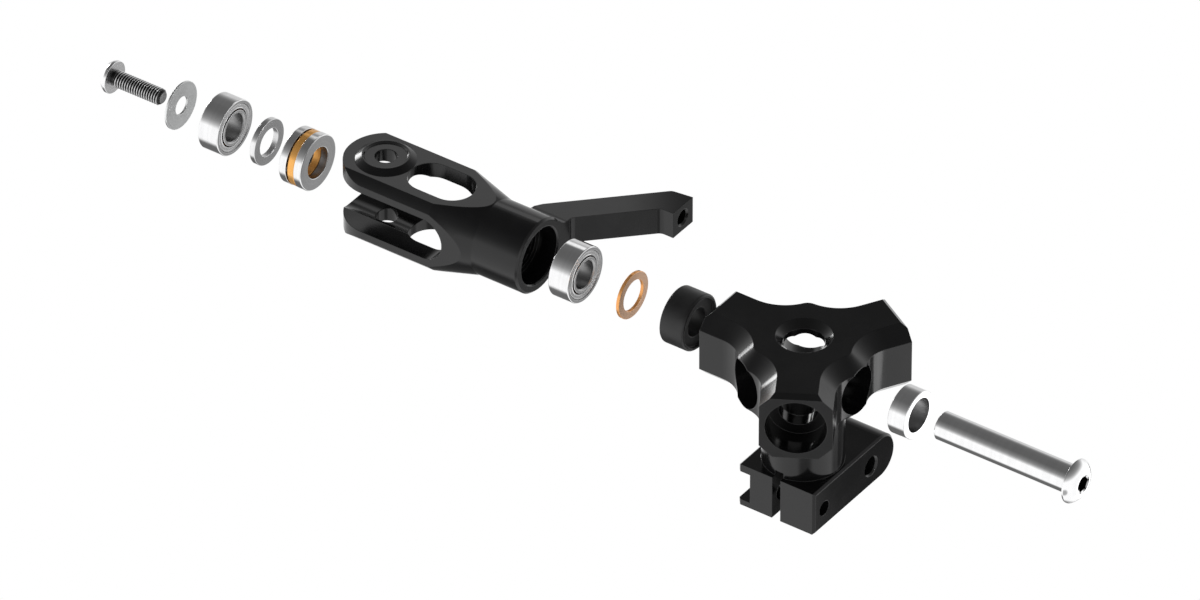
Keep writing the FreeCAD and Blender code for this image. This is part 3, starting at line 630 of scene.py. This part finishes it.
class TurnedMesh:
    def __init__(self, place):
        self.place = place
        self.verts, self.faces, self.normals = [], [], []
        self.sides = turnedLook["sides"]
        self.angles = [math.tau * side / self.sides for side in range(self.sides)]

    def ring(self, along, reach):
        # Reach gives the radius at each angle; a ring of no radius is a single point on the axis
        x = (self.place + along) / perMetre
        start = len(self.verts)
        if reach(0) == 0:
            self.verts.append((x, 0, spindleHeight))
            return [start] * self.sides
        for angle in self.angles:
            radius = reach(angle) / perMetre
            self.verts.append((x, radius * math.cos(angle), spindleHeight + radius * math.sin(angle)))
        return list(range(start, start + self.sides))

    def roundRing(self, along, radius):
        return self.ring(along, lambda angle: radius)

    def band(self, first, second, firstNormal=None, secondNormal=None):
        # Without normals the faces of a band stay flat
        for side in range(self.sides):
            after = (side + 1) % self.sides
            corners = [(first[side], firstNormal, side), (first[after], firstNormal, after),
                       (second[after], secondNormal, after), (second[side], secondNormal, side)]
            if first[side] == first[after]:
                corners.pop(1)
            elif second[side] == second[after]:
                corners.pop(2)
            self.faces.append([corner[0] for corner in corners])
            if firstNormal is None:
                points = [Vector(self.verts[corner[0]]) for corner in corners[:3]]
                flat = (points[1] - points[0]).cross(points[2] - points[1]).normalized()
                self.normals += [tuple(flat)] * len(corners)
                continue
            for _, normal, turn in corners:
                angle = self.angles[turn]
                self.normals.append((normal.x, normal.y * math.cos(angle), normal.y * math.sin(angle)))

    def profile(self, corners, closed=True):
        path = tracePath(corners, closed)
        rings = [self.roundRing(point.x, point.y) for point, _ in path[:-1]]
        rings.append(rings[0] if closed else self.roundRing(path[-1][0].x, path[-1][0].y))
        for index, (first, second) in enumerate(zip(path, path[1:])):
            flat = leftOf(second[0] - first[0])
            self.band(rings[index], rings[index + 1], first[1] or flat, second[1] or flat)
        return rings[0], rings[-1]

    def socket(self, rim, face, inward, size):
        # Hexagon socket from a countersunk rim; inward is 1 or -1 along the axis
        def hexagon(angle):
            return size["socketFlats"] / 2 / math.cos(angle % (math.pi / 3) - math.pi / 6)
        mouth = self.ring(face + inward * size["socketRim"], hexagon)
        foot = self.ring(face + inward * size["socketDepth"], hexagon)
        tip = self.roundRing(face + inward * (size["socketDepth"] + size["socketCone"]), 0)
        for outer, inner in ((rim, mouth), (mouth, foot), (foot, tip)):
            self.band(*((inner, outer) if inward > 0 else (outer, inner)))

    def finish(self, name, body, replaced, slot, look=None):
        mesh = bpy.data.meshes.new(name)
        mesh.from_pydata(self.verts, [], self.faces)
        mesh.shade_smooth()
        mesh.normals_split_custom_set(self.normals)
        mesh.materials.append(shelf[look or slot])
        piece = bpy.data.objects.new(name, mesh)
        bpy.context.scene.collection.objects.link(piece)
        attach(piece, body)
        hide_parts(replaced)


def turn(name, body, replaced, slot, place, *profiles, look=None):
    made = TurnedMesh(place)
    for corners in profiles:
        made.profile(corners)
    made.finish(name, body, replaced, slot, look)


# Two radial bearings with crimped shields. The balls run in grooves between the lands of the races.
bearing = {
    "places": {"inner_bearing": -43.3, "outer_bearing": -114.3},
    "width": 4.0, "radius": 5.0, "edge": 0.2, "seat": 4.42, "land": 4.3, "seatDepth": 0.2,
    "bore": 2.5, "innerLand": 3.2, "boreEdge": 2.74, "boreChamfer": 0.22,
    "ballPitch": 3.75, "groove": 0.84,
    "shield": ((-0.36, 4.28), (-0.1, 4.28, 0.07), (-0.1, 4.12, 0.05), (-0.19, 4.02, 0.05), (-0.19, 3.62, 0.05),
               (-0.12, 3.54, 0.04), (-0.12, 3.44, 0.05), (-0.36, 3.36, 0.02)),
}


def makeBearing(name, place):
    size = bearing
    far, land, innerLand = -size["width"], size["land"], size["innerLand"]
    half = math.sqrt(size["groove"] ** 2 - (land - size["ballPitch"]) ** 2)
    near, deep = far / 2 + half, far / 2 - half
    turn(name + "_outer_ring", name + "_shell", name + "_outer_race", "race_steel", place, [
        (far, size["radius"], size["edge"]), (0, size["radius"], size["edge"]), (0, size["seat"], 0.05),
        (-size["seatDepth"], land), *raceGroove((near, land), (deep, land), size["groove"]),
        (far + size["seatDepth"], land), (far, size["seat"], 0.05)])
    turn(name + "_pressed_shields", name + "_shell", name + "_shields", "shield_steel", place,
         size["shield"], mirrored(size["shield"], size["width"]))
    turn(name + "_inner_ring", name + "_core", name + "_inner_race", "race_steel", place, [
        (far, innerLand, 0.04), *raceGroove((deep, innerLand), (near, innerLand), size["groove"]),
        (0, innerLand, 0.06), (0, size["boreEdge"], 0.07), (-size["boreChamfer"], size["bore"], 0.08),
        (far + size["boreChamfer"], size["bore"], 0.08), (far, size["boreEdge"], 0.07)])


# Thrust bearing: two races, and a cage that stands close to the housing race
thrust = {"place": -97.3, "radius": 5.0, "far": -4.5, "shaftFace": -3.05, "housingFace": -1.45,
          "shaftBore": 2.53, "housingBore": 2.8, "ballPitch": 3.8, "groove": 1.04, "cageFar": -2.76,
          "cageFace": -1.48, "cageBore": 2.62, "cageRadius": 4.95, "cageEdge": 4.84, "cageChamfer": 0.1}


def makeThrustBearing():
    size = thrust
    half = math.sqrt(size["groove"] ** 2 - (size["far"] / 2 - size["shaftFace"]) ** 2)
    low, high = size["ballPitch"] - half, size["ballPitch"] + half
    turn("thrust_shaft_ring", "thrust_shaft_side", "thrust_shaft_race", "race_steel", size["place"], [
        (size["far"], size["radius"], 0.22), (size["shaftFace"], size["radius"], 0.07),
        *raceGroove((size["shaftFace"], high), (size["shaftFace"], low), size["groove"]),
        (size["shaftFace"], size["shaftBore"], 0.08), (size["far"], size["shaftBore"], 0.16)])
    turn("thrust_housing_ring", "thrust_housing_side", "thrust_housing_race", "race_steel", size["place"], [
        (size["housingFace"], size["radius"], 0.07), (0, size["radius"], 0.22),
        (0, size["housingBore"], 0.16), (size["housingFace"], size["housingBore"], 0.08),
        *raceGroove((size["housingFace"], low), (size["housingFace"], high), size["groove"])])
    far, face, chamfer = size["cageFar"], size["cageFace"], size["cageChamfer"]
    turn("thrust_ball_cage", "thrust_ball_set", "thrust_cage", "cage_brass", size["place"], [
        (far, size["cageEdge"], 0.05), (far + chamfer, size["cageRadius"], 0.1),
        (face - chamfer, size["cageRadius"], 0.1), (face, size["cageEdge"], 0.05),
        (face, size["cageBore"], 0.12), (far, size["cageBore"], 0.12)])


# Plain rings, with edge and boreEdge as the roundings outside and inside
rings = {
    "bearing_spacer_ring": {"body": "spacer", "node": "bearing_spacer", "slot": "race_steel",
                            "look": "spacer_steel", "place": -107.3, "thickness": 1.0, "radius": 4.15,
                            "bore": 2.53, "edge": 0.1, "boreEdge": 0.08},
    "screw_washer": {"body": "washer", "node": "washer", "slot": "washer_steel",
                     "look": "washer_steel", "place": -125.3, "thickness": 0.35, "radius": 4.3,
                     "bore": 1.65, "edge": 0.06, "boreEdge": 0.05},
    "copper_ring": {"body": "shim", "node": "copper_shim", "slot": "copper",
                    "look": "copper", "place": -33.7, "thickness": 0.6, "radius": 4.2,
                    "bore": 2.8, "edge": 0.1, "boreEdge": 0.08},
}


def makeRings():
    for name, size in rings.items():
        far = -size["thickness"]
        outside = [(far, size["radius"], size["edge"]), (0, size["radius"], size["edge"])]
        inside = [(0, size["bore"], size["boreEdge"]), (far, size["bore"], size["boreEdge"])]
        turn(name, size["body"], size["node"], size["slot"], size["place"], outside + inside,
             look=size["look"])


bush = {"place": 19.2, "length": 3.3, "radius": 4.2, "bore": 3.0, "chamfer": 0.14}


def makeBush():
    size = bush
    turn("head_bush", "bush", "hub_bush", "bright_steel", size["place"], [
        (0, size["radius"], 0.08), (size["length"] - size["chamfer"], size["radius"], 0.04),
        (size["length"], size["radius"] - size["chamfer"], 0.04), (size["length"], size["bore"], 0.07),
        (0, size["bore"], 0.07)])


# The damper has a shallow recess in the face that looks at the hub
damper = {"place": -20.5, "far": -4.7, "radius": 5.0, "chamfer": 0.3, "recess": 4.4, "recessDepth": 0.6,
          "bore": 2.55}


def makeDamper():
    size = damper
    turn("damper_ring", "damper", "damper", "damper_rubber", size["place"], [
        (size["far"], size["radius"], 0.3), (-size["chamfer"], size["radius"], 0.25),
        (0, size["radius"] - size["chamfer"], 0.12), (0, size["recess"], 0.08),
        (-size["recessDepth"], size["recess"], 0.1), (-size["recessDepth"], size["bore"], 0.15),
        (size["far"], size["bore"], 0.15)])


# Spindle with its domed head and tapped tip. Each groove of the tap gives the shares of its step at which it
# leaves the root, reaches the crest and leaves the crest.
spindle = {"place": 27.0, "radius": 2.47, "length": 25.6, "chamfer": 0.15, "headRadius": 3.8, "lip": 0.3,
           "headHeight": 1.75, "headFlat": 1.9, "dome": 3.2, "domeSteps": 14, "rim": 1.66,
           "socketFlats": 2.5, "socketDepth": 1.6, "socketRim": 0.14, "socketCone": 0.35, "tapDepth": 10.2,
           "tapCone": 0.75, "tapRoot": 1.6, "tapCrest": 1.5, "tapStart": 0.3, "tapMouth": 0.2, "pitch": 0.5,
           "tapShares": (0.1, 0.55, 0.65)}


def tapGrooves():
    # Fine rings of the tapped hole, from its depth out to its mouth
    size = spindle
    count = int((size["tapDepth"] - size["tapStart"]) / size["pitch"])
    step = (size["tapStart"] - size["tapDepth"]) / count
    reaches = (size["tapRoot"], size["tapCrest"], size["tapCrest"])
    return [(size["tapDepth"] + step * (number + share), reach)
            for number in range(count) for share, reach in zip(size["tapShares"], reaches)]


def makeSpindle():
    size = spindle
    head = size["length"] + size["headHeight"]
    lip = size["length"] + size["lip"]
    made = TurnedMesh(size["place"])
    _, rim = made.profile([
        (size["tapDepth"] + size["tapCone"], 0), (size["tapDepth"], size["tapRoot"]), *tapGrooves(),
        (size["tapMouth"], size["tapRoot"]), (0, size["tapRoot"] + size["chamfer"]),
        (0, size["radius"] - size["chamfer"], 0.05), (size["chamfer"], size["radius"], 0.05),
        (size["length"], size["radius"]), (size["length"], size["headRadius"], 0.06),
        (lip, size["headRadius"], 0.05),
        *arcCorners((lip, size["headRadius"]), (head, size["headFlat"]), size["dome"], size["domeSteps"]),
        (head, size["headFlat"], 0.05), (head, size["rim"])], closed=False)
    made.socket(rim, head, -1, size)
    made.finish("spindle_shaft", "spindle", "spindle", "bright_steel")


# Button-head screw with a real thread; along runs from the head's place towards the tip. A ridge rises with
# the flank's slope and is cut off at the crest.
screw = {"place": -129.1, "length": 10.0, "crest": 1.48, "root": 1.2, "pitch": 0.5, "ridge": 1.15,
         "flank": 2.9, "tipRadius": 1.0, "stepsPerTurn": 12, "runOut": 0.5, "runOutSlope": 1.5,
         "headRadius": 2.9, "headLip": 0.5, "headHeight": 1.85, "headFlat": 1.5, "dome": 2.2,
         "domeSteps": 12, "rim": 1.3, "socketFlats": 2.0, "socketDepth": 1.0, "socketRim": 0.12,
         "socketCone": 0.35}


def threadReach(along):
    # Along is minus the distance from the tip
    fromTip = -along

    def reach(angle):
        turnShare = (fromTip / screw["pitch"] - angle / math.tau) % 1
        ridge = min(max(screw["ridge"] - abs(turnShare - 0.5) * screw["flank"], 0), 1)
        radius = screw["root"] + (screw["crest"] - screw["root"]) * ridge
        fromNeck = screw["length"] - screw["runOut"] - fromTip
        runOut = screw["root"] + max(0, fromNeck) * screw["runOutSlope"]
        return min(radius, screw["tipRadius"] + fromTip, runOut)
    return reach


def makeScrew():
    size = screw
    neck = -size["length"]
    head, lip = neck - size["headHeight"], neck - size["headLip"]
    made = TurnedMesh(size["place"])
    rim, last = made.profile([
        (head, size["rim"]), (head, size["headFlat"], 0.05),
        *arcCorners((head, size["headFlat"]), (lip, size["headRadius"]), size["dome"], size["domeSteps"]),
        (lip, size["headRadius"], 0.07), (neck, size["headRadius"], 0.1), (neck, size["root"])], closed=False)
    made.socket(rim, head, 1, size)
    steps = int(size["length"] / size["pitch"] * size["stepsPerTurn"])
    for step in range(1, steps):
        along = neck * (1 - step / steps)
        following = made.ring(along, threadReach(along))
        made.band(last, following, noNormal, noNormal)
        last = following
    tip = made.roundRing(0, size["tipRadius"])
    made.band(last, tip)
    made.band(tip, made.roundRing(0, 0))
    made.finish("threaded_screw", "screw", "retaining_screw", "screw_steel")


for bearingName, bearingPlace in bearing["places"].items():
    makeBearing(bearingName, bearingPlace)
makeThrustBearing()
makeRings()
makeBush()
makeDamper()
makeSpindle()
makeScrew()
print("turned pieces made")
